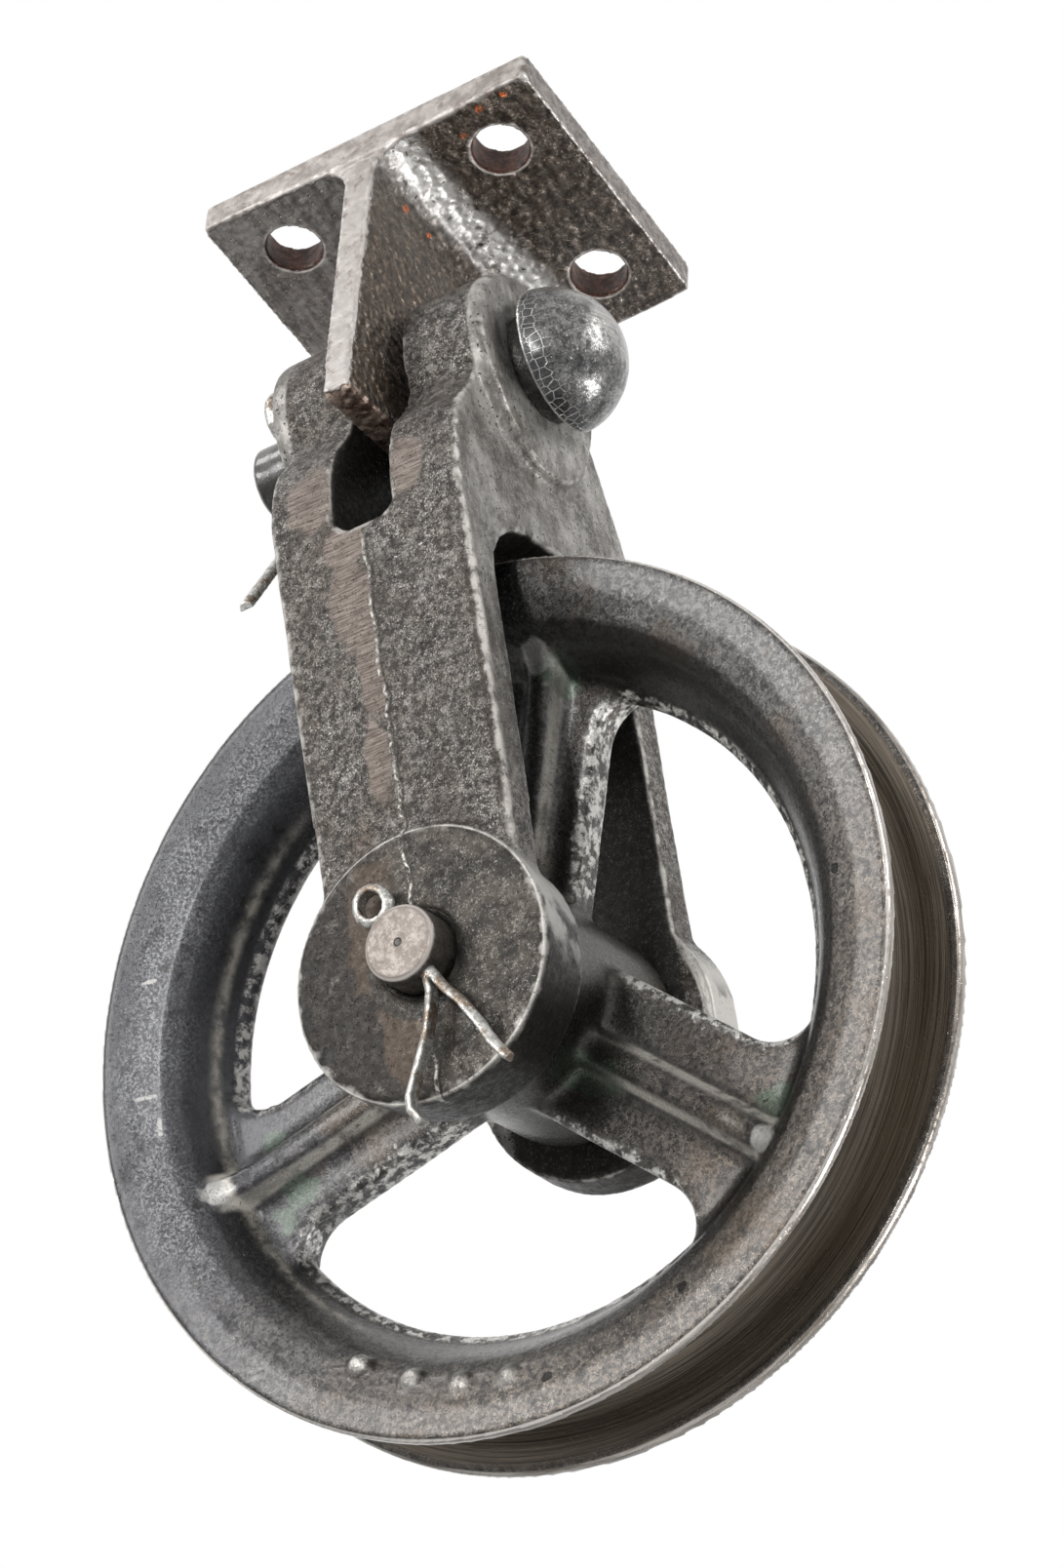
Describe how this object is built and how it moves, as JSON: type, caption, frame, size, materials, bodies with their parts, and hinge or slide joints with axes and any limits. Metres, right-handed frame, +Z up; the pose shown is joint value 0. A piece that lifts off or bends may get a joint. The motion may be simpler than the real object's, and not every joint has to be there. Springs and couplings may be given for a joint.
{
  "type": "spoked pulley block",
  "caption": "Grooved cast pulley wheel with flat ribbed spokes in a swinging fork, hung from a drilled tee plate by a button headed pin.",
  "frame": {"origin": "centre of the mounting plate's top face", "axes": "+Z up along the plumb fork, from the wheel to the plate; +X towards the button head of the swing pin; -Y towards the axle's cotter side. The plate's normal leans 19.7 degrees from +Z towards +Y"},
  "size_m": [0.254, 0.136, 0.4168],
  "materials": {
    "plate_iron": "pitted dark brown scale with light worn edges",
    "yoke_iron": "speckled warm grey casting",
    "wheel_iron": "dark glossy grained casting",
    "forged_steel": "dark worn forging",
    "worn_steel": "smooth light worn steel",
    "cotter_steel": "bright worn wire",
    "bush_metal": "oiled bronze"
  },
  "bodies": {
    "hanger": {"hanger_plate": "plate_iron"},
    "yoke": {"yoke_frame": "yoke_iron"},
    "swing_pin": {"pivot_pin": "forged_steel", "pivot_cotter": "cotter_steel"},
    "pin_ring": {"pivot_washer": "forged_steel"},
    "sheave": {"sheave_wheel": "wheel_iron", "hub_bush": "bush_metal"},
    "front_washer": {"thrust_washer_front": "worn_steel"},
    "rear_washer": {"thrust_washer_rear": "worn_steel"},
    "axle": {"axle_pin": "worn_steel", "axle_cotter": "cotter_steel"}
  },
  "joints": [
    {"name": "yoke_swing", "type": "hinge", "parent": "hanger", "child": "yoke", "pos_m": [-0.0013, -0.02832, -0.07908], "axis": [1, 0, 0], "range_deg": [-52, 80]},
    {"name": "swing_pin_turn", "type": "hinge", "parent": "yoke", "child": "swing_pin", "pos_m": [-0.0013, -0.02832, -0.07908], "axis": [1, 0, 0], "continuous": true},
    {"name": "pin_ring_turn", "type": "hinge", "parent": "swing_pin", "child": "pin_ring", "pos_m": [0.0402, -0.02832, -0.07908], "axis": [1, 0, 0], "continuous": true},
    {"name": "sheave_spin", "type": "hinge", "parent": "yoke", "child": "sheave", "pos_m": [-0.0013, -0.02832, -0.27358], "axis": [0, -1, 0], "continuous": true},
    {"name": "axle_turn", "type": "hinge", "parent": "yoke", "child": "axle", "pos_m": [-0.0013, -0.02832, -0.27358], "axis": [0, -1, 0], "continuous": true},
    {"name": "front_washer_turn", "type": "hinge", "parent": "yoke", "child": "front_washer", "pos_m": [-0.0013, -0.05592, -0.27358], "axis": [0, -1, 0], "continuous": true},
    {"name": "rear_washer_turn", "type": "hinge", "parent": "yoke", "child": "rear_washer", "pos_m": [-0.0013, 0.00808, -0.27358], "axis": [0, -1, 0], "continuous": true}
  ]
}
